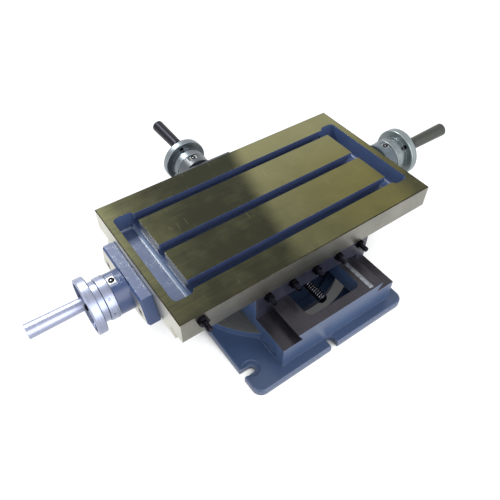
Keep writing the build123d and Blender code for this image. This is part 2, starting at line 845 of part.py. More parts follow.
def make_handwheel(name, station):
    """Turned wheel: dial spigot, hub, and a dished rim with a boss for the handle."""
    crank = crank_point(crank_angles[name])
    with BuildPart() as handwheel:
        with BuildSketch(side_of(station)):
            with BuildLine():
                Polyline(
                    (journal_r + seat_gap, washer_end),
                    (dial_bore_r, washer_end),
                    (dial_bore_r, spigot_end),
                    (hub_r, spigot_end),
                    (hub_r, rim_start),
                    (rim_r, rim_start),
                    (rim_r, rim_end),
                    (rim_r - rim_wall, rim_end),
                    (rim_r - rim_wall, web_end),
                    (journal_r + seat_gap, web_end),
                    close=True,
                )
            make_face()
        revolve(axis=axis_of(station))
        rim_edges = handwheel.edges().filter_by(GeomType.CIRCLE).group_by(SortBy.RADIUS)[-1]
        fillet(rim_edges, radius=rim_edge_r)
        with BuildSketch(station.offset(web_end)):
            with Locations(crank):
                Circle(crank_boss_r)
            Circle(rim_r - rim_edge_r, mode=Mode.INTERSECT)
        extrude(amount=face_recess)
        with BuildSketch(station.offset(rim_end)):
            with Locations(crank):
                Circle(handle_bolt_r + seat_gap)
        extrude(amount=-rim_width, mode=Mode.SUBTRACT)
        with BuildSketch(set_screw_plane(name, station)):
            Circle(set_screw_r + seat_gap)
        extrude(amount=-hub_r, mode=Mode.SUBTRACT)
    keep(handwheel, f"{name}_handwheel")


def set_screw_plane(name, station):
    """The plane on the hub, on the handle's side of it, that faces outward from its axis."""
    crank = crank_point(crank_angles[name])
    out = (station.x_dir * crank[0] + station.y_dir * crank[1]).normalized()
    middle = (spigot_end + rim_start) / 2
    return Plane(station.origin + station.z_dir * middle + out * hub_r, station.z_dir, out)


def make_set_screws(name, station):
    seat = set_screw_plane(name, station).offset(journal_r + seat_gap - hub_r)
    with BuildPart() as set_screws:
        with BuildSketch(seat):
            Circle(set_screw_r)
        extrude(amount=set_screw_length)
        with BuildSketch(seat.offset(set_screw_length)):
            RegularPolygon(set_screw_socket / 2, 6, major_radius=False)
        extrude(amount=-set_screw_socket, mode=Mode.SUBTRACT)
    keep(set_screws, f"{name}_set_screws")


def make_end_screw(name, station):
    """Screw and washer that hold the wheel on its journal."""
    with BuildPart() as end_screw:
        with BuildSketch(station.offset(web_end)):
            Circle(end_washer_r)
        extrude(amount=washer_thick)
        with BuildSketch(station.offset(web_end + washer_thick)):
            Circle(end_screw_head_r)
        extrude(amount=end_screw_head)
        with BuildSketch(station.offset(web_end + washer_thick + end_screw_head)):
            RegularPolygon(end_screw_flats / 2, 6, major_radius=False)
        extrude(amount=-end_screw_socket, mode=Mode.SUBTRACT)
        with BuildSketch(station.offset(web_end)):
            Circle(end_screw_r)
        extrude(amount=hole_gap - end_screw_length)
    keep(end_screw, f"{name}_end_screw")


def make_handle(name, station):
    """Tapered grip with a flat end, bored for its bolt, with a seat for the bolt head."""
    crank = crank_point(crank_angles[name])
    grip_axis = Plane(
        station.from_local_coords(Vector(crank[0], crank[1], rim_end + free_gap)),
        x_dir=station.x_dir,
        z_dir=station.z_dir,
    )
    with BuildPart() as handle:
        with BuildSketch(side_of(grip_axis)):
            with BuildLine():
                Polyline(
                    (0, 0),
                    (handle_root_r, 0),
                    (handle_tip_r, handle_length - handle_edge),
                    (handle_tip_r - handle_edge, handle_length),
                    (0, handle_length),
                    close=True,
                )
            make_face()
        revolve(axis=axis_of(grip_axis))
        with BuildSketch(grip_axis):
            Circle(handle_bolt_r + running_gap)
        extrude(amount=handle_length, mode=Mode.SUBTRACT)
        with BuildSketch(grip_axis.offset(handle_length)):
            Circle(handle_head_r + free_gap)
        extrude(amount=-handle_recess - handle_head, mode=Mode.SUBTRACT)
    keep(handle, f"{name}_handle")

    bolt_seat = handle_length - handle_recess - handle_head + free_gap
    with BuildPart() as handle_bolt:
        with BuildSketch(grip_axis.offset(-free_gap - rim_width)):
            Circle(handle_bolt_r)
        extrude(amount=rim_width + free_gap + bolt_seat)
        with BuildSketch(grip_axis.offset(bolt_seat)):
            Circle(handle_head_r)
        extrude(amount=handle_head)
        chamfer(handle_bolt.edges().sort_by(axis_of(station))[-1], length=handle_head_edge)
    keep(handle_bolt, f"{name}_handle_bolt")


for station_name, station_plane in stations.items():
    make_bracket(station_name, station_plane)
    make_bracket_screws(station_name, station_plane)
    make_bush(station_name, station_plane)
    make_oiler(station_name, station_plane)
    make_thrust_washers(station_name, station_plane)
    make_dial(station_name, station_plane)
    make_handwheel(station_name, station_plane)
    make_set_screws(station_name, station_plane)
    make_end_screw(station_name, station_plane)
    make_handle(station_name, station_plane)
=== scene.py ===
import math

import bpy
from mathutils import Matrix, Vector


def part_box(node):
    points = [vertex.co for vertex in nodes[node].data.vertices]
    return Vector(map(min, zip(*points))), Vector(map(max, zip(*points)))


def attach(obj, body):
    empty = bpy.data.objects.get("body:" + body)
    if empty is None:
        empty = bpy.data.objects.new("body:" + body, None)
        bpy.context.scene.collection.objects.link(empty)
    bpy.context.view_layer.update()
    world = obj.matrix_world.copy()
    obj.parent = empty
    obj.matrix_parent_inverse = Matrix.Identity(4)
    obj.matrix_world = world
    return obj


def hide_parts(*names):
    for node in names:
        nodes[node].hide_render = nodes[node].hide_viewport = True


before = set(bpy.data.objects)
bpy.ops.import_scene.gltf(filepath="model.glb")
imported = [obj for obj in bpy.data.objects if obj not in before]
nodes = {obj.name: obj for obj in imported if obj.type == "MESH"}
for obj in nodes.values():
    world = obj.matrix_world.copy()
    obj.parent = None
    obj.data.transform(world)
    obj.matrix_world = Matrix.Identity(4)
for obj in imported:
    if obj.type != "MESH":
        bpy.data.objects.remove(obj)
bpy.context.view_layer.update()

# Cross slide table on a white floor. Metres, same frame as the CAD: X along the table, Y along the base.
mm = 0.001


def linear(hexText):  # sRGB hex to the linear colour that a shader takes
    parts = [int(hexText[i:i + 2], 16) / 255 for i in (1, 3, 5)]
    return (*[p / 12.92 if p <= 0.04045 else ((p + 0.055) / 1.055) ** 2.4 for p in parts], 1)


def addNode(tree, kind, settings=None, links=None):  # a key is one of the node's settings or inputs
    made = tree.nodes.new(kind)
    for key, value in (settings or {}).items():
        if isinstance(key, str) and hasattr(made, key):
            setattr(made, key, value)
        else:
            made.inputs[key].default_value = value
    for key, source in (links or {}).items():
        tree.links.new(source, made.inputs[key])
    return made


def startMaterial(name):
    made = bpy.data.materials.new(name)
    made.use_nodes = True
    made.node_tree.nodes.clear()
    return made, made.node_tree


def endMaterial(tree, settings, links):
    shader = addNode(tree, "ShaderNodeBsdfPrincipled", settings, links)
    addNode(tree, "ShaderNodeOutputMaterial", None, {"Surface": shader.outputs[0]})


grainSpan = (0.3, 0.7)  # nearly all of the noise lies between these
edgeSamples = 4


def surfaceGrain(tree, place, sizesMm, detail=3):  # uneven grain of this length along X, Y and Z
    scaled = addNode(tree, "ShaderNodeVectorMath", {"operation": "MULTIPLY", 1: [1 / (s * mm) for s in sizesMm]},
                     {0: place})
    return addNode(tree, "ShaderNodeTexNoise", {"Scale": 1.0, "Detail": detail, "Roughness": 0.6},
                   {"Vector": scaled.outputs[0]}).outputs[0]


def zoneMask(tree, sources, rules):  # 1 where any rule holds; a rule lists (source, lowest, highest), places in mm
    total = None
    for rule in rules:
        product = None
        for source, low, high in rule:
            unit = 1 if source.startswith("n") else mm
            inside = addNode(tree, "ShaderNodeMath", {"operation": "COMPARE", 1: (low + high) / 2 * unit,
                                                      2: (high - low) / 2 * unit}, {0: sources[source]}).outputs[0]
            product = inside if product is None else addNode(
                tree, "ShaderNodeMath", {"operation": "MULTIPLY"}, {0: product, 1: inside}).outputs[0]
        total = product if total is None else addNode(
            tree, "ShaderNodeMath", {"operation": "MAXIMUM"}, {0: total, 1: product}).outputs[0]
    return total


def fadedArea(tree, place, fades):  # each fade rises smoothly from 0 to 1 between two points in mm
    area = None
    for start, end in fades:
        start, end = Vector(start) * mm, Vector(end) * mm
        run = (end - start) / (end - start).length_squared
        along = addNode(tree, "ShaderNodeVectorMath", {"operation": "DOT_PRODUCT", 1: run}, {0: place})
        fade = addNode(tree, "ShaderNodeMapRange", {"interpolation_type": "SMOOTHSTEP", "From Min": start.dot(run),
                                                    "From Max": start.dot(run) + 1},
                       {"Value": along.outputs["Value"]}).outputs[0]
        area = fade if area is None else addNode(
            tree, "ShaderNodeMath", {"operation": "MULTIPLY"}, {0: area, 1: fade}).outputs[0]
    return area


def wornEdge(tree, softEdge, wear):  # 0 on a face, rising along its edges to its most: edge wear and painted highlight
    flatness = addNode(tree, "ShaderNodeVectorMath", {"operation": "DOT_PRODUCT"},
                       {0: softEdge.outputs[0], 1: addNode(tree, "ShaderNodeNewGeometry").outputs["Normal"]})
    return addNode(tree, "ShaderNodeMapRange",
                   {"From Min": wear["starts"], "From Max": wear["full"], "To Max": wear["most"]},
                   {"Value": flatness.outputs["Value"]}).outputs[0]


# Machine enamel sprayed over filled sand-cast iron: an even slate blue with a soft gloss, faint waves
# from the filler underneath and fine orange peel, paler along the edges, partly where it lies thin and partly as a
# painted highlight
enamel = {
    "deep": "#2c3f65", "pale": "#384f77", "thin": "#7d8ea6",
    "rough": (0.27, 0.38), "ior": 1.5, "gloss": 0.65, "bump": 0.6,
    "cloudMm": 55,
    "castMm": 7.0, "castDepthMm": 0.14,
    "peelMm": 1.6,  # real orange peel is finer, about 0.8
    "peelDepthMm": 0.02,
    "edgeMm": 0.8, "wear": {"starts": 0.985, "full": 0.90, "most": 0.7},
    "scuff": "#c3cbd3", "scuffMm": (1.1, 1.1, 1.1), "scuffShows": (0.62, 0.68),
    "scuffAreaMm": 16, "scuffAreaShows": (0.5, 0.62),
}
# The enamel on the table is paler and greyer, on the base a little so
tableEnamel = {**enamel, "deep": "#36456a", "pale": "#47587c", "edgeMm": 0.3}
baseEnamel = {**enamel, "deep": "#334261", "pale": "#405373"}
# The brackets' enamel is tinted by side as painted light: the left one darkened as painted shade against the left
# lamp, the far ones greyed as painted reflection
bracketEnamelPaintedLight = {
    "left": {**enamel, "deep": "#243560", "pale": "#2f446e"},
    "right": {**enamel, "deep": "#3b4750", "pale": "#505c63"},
    "rear": {**enamel, "deep": "#34393f", "pale": "#464c51"},
}

# Machined cast iron, one look for each way it was cut
patchMm = 45  # size of the slow changes of tone across machined iron
groundTopPaintedReflection = {  # surface-ground working face, olive; its paler and darker areas below are painted reflection
    "dark": "#393a2d", "light": "#8c8a64", "grainMm": (60, 0.9, 60), "grain": 0.35, "rough": (0.2, 0.3),
    "depthMm": 0.003,
    "scratches": {"colour": "#b5b398", "turnRadians": 1.64, "sizesMm": (34, 0.5, 34), "shows": (0.83, 0.87),
                  "most": 0.6},
    "yellowed": {"colour": "#7a7132",  # yellower towards the front right
                 "fades": [((-40, 0, 0), (170, -20, 0)), ((0, 110, 0), (0, -90, 0))]},
    "uneven": 0.26,
    "wiped": [  # how much paler the painted reflection makes it, and the fades (from, to) in mm that are multiplied for it
        (0.36, [((-28, 0, 0), (10, -9.5, 0))]),  # right half
        (0.62, [((-28, 0, 0), (10, -9.5, 0)), ((0, -125, 0), (0, 135, 0))]),  # more of it to the rear
        (0.12, [((-70, 0, 0), (-245, 20, 0))]),  # left end
        (0.16, [((-120, 0, 0), (-245, 20, 0)), ((0, -125, 0), (0, 125, 0))]),  # its rear corner
        (-0.32, [((160, 0, 0), (226, 0, 0)), ((0, 95, 0), (0, -30, 0))]),  # darker at the right end, towards the front
    ],
}
milledSidePaintedReflection = {  # side faces milled, painted greyer and paler than the top as painted reflection
    "dark": "#77766f", "light": "#929087", "grainMm": (30, 30, 1.1), "grain": 0.35, "rough": (0.3, 0.42),
    "depthMm": 0.004,
}
milledEndPaintedLight = {  # end faces milled, painted bright as painted light from the strong lamp on the left
    "dark": "#b9b8ac", "light": "#cfcdc2", "grainMm": (30, 30, 1.1), "grain": 0.3, "rough": (0.36, 0.48),
    "depthMm": 0.004,
}
oiledWay = {  # scraped ways, nearly black under way oil
    "dark": "#2b292f", "light": "#3d3a42", "grainMm": (1.2, 40, 40), "grain": 0.22, "rough": (0.2, 0.34),
    "depthMm": 0.004, "metal": 0.5,  # the oil film hides half of the iron's shine
}
darkFront = {  # saddle front, its enamel darkened nearly black
    "dark": "#1f1f2b", "light": "#343747", "grainMm": (14, 14, 22), "grain": 0.6, "rough": (0.34, 0.46),
    "depthMm": 0.02, "metal": 0.3,
}
scribedFlat = {  # flat filed on the boss for the oiler and the zero line, greyed by handling
    "dark": "#a2a29c", "light": "#bcbbb4", "grainMm": (0.7, 12, 12), "grain": 0.5, "rough": (0.4, 0.5),
    "depthMm": 0.004,
}
slotWall = {  # milled slot walls under a thin wash of paint that ran in from the gutters
    "dark": "#3a4567", "light": "#49567a", "grainMm": (40, 40, 1.0), "grain": 0.3, "rough": (0.4, 0.5),
    "depthMm": 0.004, "metal": 0.3,
}
rubbedPaint = {  # enamel at the foot of the land ends, painted pale slate as painted light so that it shows lit
    "dark": "#7687a3", "light": "#8e9cb3", "grainMm": (9, 5, 5), "grain": 0.5, "rough": (0.42, 0.52),
    "depthMm": 0.006, "metal": 0.0,
}
darkEdge = {  # thin dark line along the outer edges of the top
    "dark": "#1f1d16", "light": "#35322a", "grainMm": (30, 30, 30), "grain": 0.5, "rough": (0.35, 0.45),
    "depthMm": 0.002,
}
turnedPad = {  # turned pad around the body, its fine rings blurred to a plain grey
    "dark": "#5e6062", "light": "#76776e", "grainMm": (4, 4, 4), "grain": 0.4, "rough": (0.34, 0.46),
    "depthMm": 0.004, "metal": 0.35,  # dusty, so it shines less than clean iron
}


def wipedFilm(tree, place, look, spread):  # how pale the top is, from the film's own uneven tone and the areas of painted reflection
    uneven = addNode(tree, "ShaderNodeMath", {"operation": "SUBTRACT", 1: 0.5}, {0: spread})
    film = addNode(tree, "ShaderNodeMath", {"operation": "MULTIPLY", 1: look["uneven"]}, {0: uneven.outputs[0]})
    for paler, fades in look["wiped"]:
        area = addNode(tree, "ShaderNodeMath", {"operation": "MULTIPLY", 1: paler},
                       {0: fadedArea(tree, place, fades)})
        film = addNode(tree, "ShaderNodeMath", {"operation": "ADD"}, {0: film.outputs[0], 1: area.outputs[0]})
    return film.outputs[0]


def handlingScratches(tree, place, look, metal):  # a few long thin scratches across the top
    turned = addNode(tree, "ShaderNodeVectorRotate", {"rotation_type": "Z_AXIS", "Angle": look["turnRadians"]},
                     {"Vector": place}).outputs[0]
    cut = addNode(tree, "ShaderNodeMapRange",
                  {"From Min": look["shows"][0], "From Max": look["shows"][1], "To Max": look["most"]},
                  {"Value": surfaceGrain(tree, turned, look["sizesMm"], 0)})
    return addNode(tree, "ShaderNodeMix", {"data_type": "RGBA", 7: linear(look["colour"])},
                   {0: cut.outputs[0], 6: metal}).outputs[2]


def castingFinish(name, zones, scuffed, paint=enamel):  # scuffed has the rules for where tools chipped the paint
    made, tree = startMaterial(name)
    coords = addNode(tree, "ShaderNodeTexCoord")
    place = coords.outputs["Object"]
    xyz = addNode(tree, "ShaderNodeSeparateXYZ", None, {0: place})
    facing = addNode(tree, "ShaderNodeSeparateXYZ", None, {0: coords.outputs["Normal"]})
    sources = {"x": xyz.outputs[0], "y": xyz.outputs[1], "z": xyz.outputs[2],
               "nx": facing.outputs[0], "ny": facing.outputs[1], "nz": facing.outputs[2]}
    for letter in "xy":  # ax and ay hold alike on both sides of the middle
        sources["a" + letter] = addNode(tree, "ShaderNodeMath", {"operation": "ABSOLUTE"},
                                        {0: sources[letter]}).outputs[0]

    # The paint, everywhere first
    softEdge = addNode(tree, "ShaderNodeBevel", {"samples": edgeSamples, "Radius": paint["edgeMm"] * mm})
    clouds = surfaceGrain(tree, place, [paint["cloudMm"]] * 3)
    cast = surfaceGrain(tree, place, [paint["castMm"]] * 3, 2)
    peel = surfaceGrain(tree, place, [paint["peelMm"]] * 3, 2)
    colour = addNode(tree, "ShaderNodeMix", {"data_type": "RGBA", 6: linear(paint["deep"]),
                                             7: linear(paint["pale"])}, {0: clouds}).outputs[2]
    # paler edges: partly thin paint, partly painted highlight
    thin = addNode(tree, "ShaderNodeMath", {"operation": "MULTIPLY"},
                   {0: wornEdge(tree, softEdge, paint["wear"]), 1: cast})
    colour = addNode(tree, "ShaderNodeMix", {"data_type": "RGBA", 7: linear(paint["thin"])},
                     {0: thin.outputs[0], 6: colour}).outputs[2]
    chips = zoneMask(tree, sources, scuffed)
    for sizesMm, (starts, full) in ((paint["scuffMm"], paint["scuffShows"]),
                                    ([paint["scuffAreaMm"]] * 3, paint["scuffAreaShows"])):
        spots = addNode(tree, "ShaderNodeMapRange", {"From Min": starts, "From Max": full},
                        {"Value": surfaceGrain(tree, place, sizesMm, 1)})
        chips = addNode(tree, "ShaderNodeMath", {"operation": "MULTIPLY"},
                        {0: chips, 1: spots.outputs[0]}).outputs[0]
    colour = addNode(tree, "ShaderNodeMix", {"data_type": "RGBA", 7: linear(paint["scuff"])},
                     {0: chips, 6: colour}).outputs[2]
    rough = addNode(tree, "ShaderNodeMapRange", {"To Min": paint["rough"][0], "To Max": paint["rough"][1]},
                    {"Value": clouds}).outputs[0]
    waves = addNode(tree, "ShaderNodeMath", {"operation": "MULTIPLY", 1: paint["castDepthMm"]}, {0: cast})
    height = addNode(tree, "ShaderNodeMath", {"operation": "MULTIPLY_ADD", 1: paint["peelDepthMm"]},
                     {0: peel, 2: waves.outputs[0]}).outputs[0]
    bare = None

    # Then each machined zone over it
    for rules, look in zones.values():
        mask = zoneMask(tree, sources, rules)
        grain = surfaceGrain(tree, place, look["grainMm"])
        patches = surfaceGrain(tree, place, [patchMm] * 3)
        mixed = addNode(tree, "ShaderNodeMix", {"data_type": "FLOAT", 0: look["grain"]}, {2: patches, 3: grain})
        spread = addNode(tree, "ShaderNodeMapRange", {"From Min": grainSpan[0], "From Max": grainSpan[1]},
                         {"Value": mixed.outputs[0]}).outputs[0]
        # painted reflection across the top
        if "wiped" in look:
            spread = wipedFilm(tree, place, look, spread)
        metal = addNode(tree, "ShaderNodeMix", {"data_type": "RGBA", 6: linear(look["dark"]),
                                                7: linear(look["light"])}, {0: spread}).outputs[2]
        if "yellowed" in look:
            share = addNode(tree, "ShaderNodeMath", {"operation": "MULTIPLY"},
                            {0: fadedArea(tree, place, look["yellowed"]["fades"]), 1: spread})
            metal = addNode(tree, "ShaderNodeMix", {"data_type": "RGBA", 7: linear(look["yellowed"]["colour"])},
                            {0: share.outputs[0], 6: metal}).outputs[2]
        if "scratches" in look:
            metal = handlingScratches(tree, place, look["scratches"], metal)
        metalRough = addNode(tree, "ShaderNodeMapRange", {"To Min": look["rough"][0], "To Max": look["rough"][1]},
                             {"Value": grain})
        metalHeight = addNode(tree, "ShaderNodeMath", {"operation": "MULTIPLY", 1: look["depthMm"]}, {0: grain})
        colour = addNode(tree, "ShaderNodeMix", {"data_type": "RGBA"}, {0: mask, 6: colour, 7: metal}).outputs[2]
        rough = addNode(tree, "ShaderNodeMix", {"data_type": "FLOAT"},
                        {0: mask, 2: rough, 3: metalRough.outputs[0]}).outputs[0]
        height = addNode(tree, "ShaderNodeMix", {"data_type": "FLOAT"},
                         {0: mask, 2: height, 3: metalHeight.outputs[0]}).outputs[0]
        level = addNode(tree, "ShaderNodeMath", {"operation": "MULTIPLY", 1: look.get("metal", 1.0)},
                        {0: mask}).outputs[0]
        bare = level if bare is None else addNode(
            tree, "ShaderNodeMath", {"operation": "MAXIMUM"}, {0: bare, 1: level}).outputs[0]

    bump = addNode(tree, "ShaderNodeBump", {"Strength": paint["bump"], "Distance": mm},
                   {"Height": height, "Normal": softEdge.outputs[0]})
    endMaterial(tree, {"IOR": paint["ior"], "Specular IOR Level": paint["gloss"]},
                {"Base Color": colour, "Roughness": rough, "Normal": bump.outputs[0], "Metallic": bare})
    return made


barBump = 0.5


def barFinish(name, look):  # a metal part of one finish; lathe rings run about the axis it was turned on
    made, tree = startMaterial(name)
    place = addNode(tree, "ShaderNodeTexCoord").outputs["Object"]
    if "centre" in look:
        local = addNode(tree, "ShaderNodeVectorMath", {"operation": "SUBTRACT", 1: look["centre"]}, {0: place})
        axis = Vector([float(i == look["axis"]) for i in range(3)])
        along = addNode(tree, "ShaderNodeVectorMath", {"operation": "DOT_PRODUCT", 1: axis}, {0: local.outputs[0]})
        across = addNode(tree, "ShaderNodeVectorMath", {"operation": "MULTIPLY", 1: Vector((1, 1, 1)) - axis},
                         {0: local.outputs[0]})
        radius = addNode(tree, "ShaderNodeVectorMath", {"operation": "LENGTH"}, {0: across.outputs[0]})
        place = addNode(tree, "ShaderNodeCombineXYZ", None,
                        {0: along.outputs["Value"], 1: radius.outputs["Value"]}).outputs[0]
    grain = surfaceGrain(tree, place, look["grainMm"], 2)
    spread = addNode(tree, "ShaderNodeMapRange", {"From Min": grainSpan[0], "From Max": grainSpan[1]},
                     {"Value": grain}).outputs[0]
    colour = addNode(tree, "ShaderNodeMix", {"data_type": "RGBA", 6: linear(look["dark"]), 7: linear(look["light"])},
                     {0: spread}).outputs[2]
    rough = addNode(tree, "ShaderNodeMapRange", {"To Min": look["rough"][0], "To Max": look["rough"][1]},
                    {"Value": spread})
    softEdge = addNode(tree, "ShaderNodeBevel", {"samples": edgeSamples, "Radius": look.get("edgeMm", 0.3) * mm})
    if "rubbed" in look:  # edges painted bright: a painted highlight
        colour = addNode(tree, "ShaderNodeMix", {"data_type": "RGBA", 7: linear(look["rubbed"])},
                         {0: wornEdge(tree, softEdge, look["wear"]), 6: colour}).outputs[2]
    if "rootDark" in look:  # darker towards the roots of the thread
        crest = addNode(tree, "ShaderNodeMapRange",
                        {"From Min": look["rootMm"] * mm, "From Max": look["crestMm"] * mm},
                        {"Value": radius.outputs["Value"]})
        colour = addNode(tree, "ShaderNodeMix", {"data_type": "RGBA", 6: linear(look["rootDark"])},
                         {0: crest.outputs[0], 7: colour}).outputs[2]
    height = addNode(tree, "ShaderNodeMath", {"operation": "MULTIPLY", 1: look["depthMm"]}, {0: grain})
    bump = addNode(tree, "ShaderNodeBump", {"Strength": barBump, "Distance": mm},
                   {"Height": height.outputs[0], "Normal": softEdge.outputs[0]})
    endMaterial(tree, {"Metallic": look.get("metallic", 1.0)},
                {"Base Color": colour, "Roughness": rough.outputs[0], "Normal": bump.outputs[0]})
    return made


def dress(nodeNames, material):
    for name in nodeNames:
        nodes[name].data.materials.clear()
        nodes[name].data.materials.append(material)


print("finishes of the castings")
# Each zone has the rules for where it lies and its look; a later zone covers an earlier one. Places are in mm
far = 9000  # past any place on the table
whole = 1.1  # past the end of a normal, which is 1 long
skin = 0.9  # how deep below a face its own finish reaches
faceUp, faceDown, faceAside = ("nz", 0.5, whole), ("nz", -whole, -0.5), ("nz", -0.5, 0.5)
levelTop = ("nz", 0.9, whole)
leftHalf, rightHalf = ("x", -far, 0), ("x", 0, far)

tablePlaces = {
    "underside": 103.1,  # its dovetail hangs below this, in the saddle
    "landEnds": (179, 186), "landDepth": 22, "landHalf": 98.9,  # the lands end here, milled to this depth
    "footEnd": 191.5, "footHalf": 88,  # rounded foot below their ends
    "slotDepth": 13, "slotEnd": 178.5, "slotHalf": 100,  # throats of the T-slots
    "rimWidth": 1.5, "rimDepth": 1.1,  # line of oil along the edges
}
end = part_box("table")[1] / mm
top = end.z
landStart, landStop = tablePlaces["landEnds"]
landFloor = top - tablePlaces["landDepth"]
landEnd = [("ax", landStart, landStop), ("z", landFloor, far), ("nz", -0.1, 0.1), ("ay", 0, tablePlaces["landHalf"])]
landFoot = [("ax", landStart, tablePlaces["footEnd"]), ("z", 0, landFloor), ("nz", -0.1, whole),
            ("ay", 0, tablePlaces["footHalf"])]
topLine = [("z", top - tablePlaces["rimDepth"], top + 1), ("nz", 0.3, whole)]
tableZones = {
    "top": ([[("z", top - skin, top + 1), faceUp]], groundTopPaintedReflection),
    "edges": ([[*topLine, ("ay", end.y - tablePlaces["rimWidth"], far)],
               [*topLine, ("ax", end.x - tablePlaces["rimWidth"], far)]], darkEdge),
    "sides": ([[("ay", end.y - skin, far), ("nz", -whole, 0.3)], [("z", 0, tablePlaces["underside"])],
               [faceDown]], milledSidePaintedReflection),
    "slots": ([[("z", top - tablePlaces["slotDepth"], top - skin), ("ax", 0, tablePlaces["slotEnd"]),
                ("ay", 0, tablePlaces["slotHalf"]), ("nz", -0.2, 0.2), ("nx", -0.2, 0.2)]], slotWall),
    "landFeet": ([[*landFoot, ("nx", -whole, -0.35), leftHalf], [*landFoot, ("nx", 0.35, whole), rightHalf]],
                 rubbedPaint),
    "ends": ([[("ax", end.x - skin, far), faceAside], [*landEnd, ("nx", -whole, -0.9), leftHalf],
              [*landEnd, ("nx", 0.9, whole), rightHalf]], milledEndPaintedLight),
}
dress(["table"], castingFinish("enamelledAndGroundTable", tableZones, [[levelTop, ("ax", landStop, far)]],
                               tableEnamel))

saddlePlaces = {
    "grooveFloor": 85.5, "wayHalves": (106.8, 123.5),  # groove and ways for the table, half of each length
    "recessTop": 70, "recessHalf": 88.5,  # recess over the base's dovetail
    "front": 120.5,
}
wayHalfX, wayHalfY = saddlePlaces["wayHalves"]
saddleZones = {
    "ways": ([[("z", saddlePlaces["grooveFloor"], tablePlaces["underside"]), ("ax", 0, wayHalfX),
               ("ay", 0, wayHalfY), ("nz", -0.6, whole)], [("nz", -whole, -0.8)],
              [("z", 0, saddlePlaces["recessTop"]), ("ax", 0, saddlePlaces["recessHalf"])]], oiledWay),
    "front": ([[("ay", saddlePlaces["front"], far), ("ny", -whole, -0.5)]], darkFront),
}
dress(["saddle"], castingFinish("enamelledSaddle", saddleZones, [[levelTop]]))

basePlaces = {
    "shelf": (52.5, 53.4), "wayTop": (68.5, 69.5),  # heights that hold the faces beside and on the dovetail
    "flank": (53.2, 69.2), "flankEnds": (48.5, 82.5),  # its flanks, upwards and across
    "padTop": (23.5, 24.5), "underside": 0.1,
    "scuffedTo": 20,  # tools chipped the rear of the plate, which lies below this
}
baseZones = {
    "ways": ([[("z", *basePlaces["shelf"]), faceUp], [("z", *basePlaces["wayTop"]), faceUp],
              [("z", *basePlaces["flank"]), ("ax", *basePlaces["flankEnds"]), ("nz", -0.95, -0.2)]], oiledWay),
    "pad": ([[("z", *basePlaces["padTop"]), faceUp], [("z", -far, basePlaces["underside"])]], turnedPad),
}
dress(["base"], castingFinish("enamelledBase", baseZones,
                              [[levelTop, ("z", 0, basePlaces["scuffedTo"]), ("y", 0, far)]], baseEnamel))

# Which way each handwheel points out, and what its bracket is bolted to
stations = {
    "left": {"axis": 0, "out": Vector((-1, 0, 0)), "carrier": "table"},
    "right": {"axis": 0, "out": Vector((1, 0, 0)), "carrier": "table"},
    "rear": {"axis": 1, "out": Vector((0, 1, 0)), "carrier": "base"},
}
bracketPlaces = {
    "flangeBack": 22,  # from the end of the boss to the flange's outer face
    "flat": (1, 11), "flatHalf": 6.3,  # the oiler's flat starts and ends this far from the boss's end
    "skin": 0.3,
}
for side, station in stations.items():
    low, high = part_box(f"{side}_dial")
    station["centre"] = (low + high) / 2
    bossEnd = max(station["out"].dot(corner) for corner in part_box(f"{side}_bracket")) / mm
    flange = bossEnd - bracketPlaces["flangeBack"]
    thinSkin = bracketPlaces["skin"]
    facing, along, across = ("nx", "ax", "y") if station["axis"] == 0 else ("ny", "y", "x")
    faceOut = (facing, 0.9, whole) if sum(station["out"]) > 0 else (facing, -whole, -0.9)
    flatStart, flatEnd = bracketPlaces["flat"]
    flatHalf = bracketPlaces["flatHalf"]
    bracketZones = {
        "faces": ([[(along, flange - thinSkin, flange + thinSkin), faceOut],
                   [(along, bossEnd - thinSkin, bossEnd + 1), faceOut]], milledEndPaintedLight),
        "flat": ([[(along, bossEnd - flatEnd, bossEnd - flatStart), ("nz", 0.99, whole),
                   (across, -flatHalf, flatHalf)]], scribedFlat),
    }
    dress([f"{side}_bracket"],
          castingFinish(f"enamelledBracket_{side}", bracketZones, [[levelTop]], bracketEnamelPaintedLight[side]))

print("finishes of the turned and bought parts")
aluminium = {  # wheels and dials turned from bar: soft silver with fine rings, and edges painted bright as a highlight
    "dark": "#828aa3", "light": "#a6abbd", "rough": (0.3, 0.4), "depthMm": 0.006,
    "grainMm": (0.8, 0.8, 60),  # turned rings are about 0.15 mm apart; drawn at 0.8 to show
    "edgeMm": 0.5, "rubbed": "#dfe2ea", "wear": {"starts": 0.99, "full": 0.92, "most": 0.8},
}
# The right and rear wheels are darker copies of the aluminium: painted shade
wheelsWithPaintedShade = {"left": aluminium, "right": {**aluminium, "dark": "#727c80", "light": "#99a1a2"},
          "rear": {**aluminium, "dark": "#676f75", "light": "#8d9498"}}
steelBar = {  # steel turned or ground bright
    "dark": "#7b7b7d", "light": "#a3a3a3", "grainMm": (0.8, 0.8, 60), "rough": (0.2, 0.32), "depthMm": 0.004,
}
plated = {  # steel polished and plated, nearly without rings
    "dark": "#989db4", "light": "#a3a8bc", "grainMm": (1.2, 1.2, 60), "rough": (0.34, 0.4), "depthMm": 0.002,
    "edgeMm": 0.1,
}
gripsWithPaintedShade = {"left": plated, "right": {**plated, "dark": "#494b48", "light": "#585a55"},  # the right and rear grips are darker copies, painted shade
         "rear": {**plated, "dark": "#242429", "light": "#2d2d33"}}
oxide = {  # black-oxided steel with a film of oil: nearly black, with small sharp lights
    "dark": "#131217", "light": "#201f27", "grainMm": (1.5, 1.5, 1.5), "rough": (0.22, 0.34), "depthMm": 0.01,
}
bronzeLook = {  # cast bronze machined all over: warm brown gold
    "dark": "#8a6a35", "light": "#b08a4a", "grainMm": (0.8, 0.8, 60), "rough": (0.3, 0.4), "depthMm": 0.004,
}
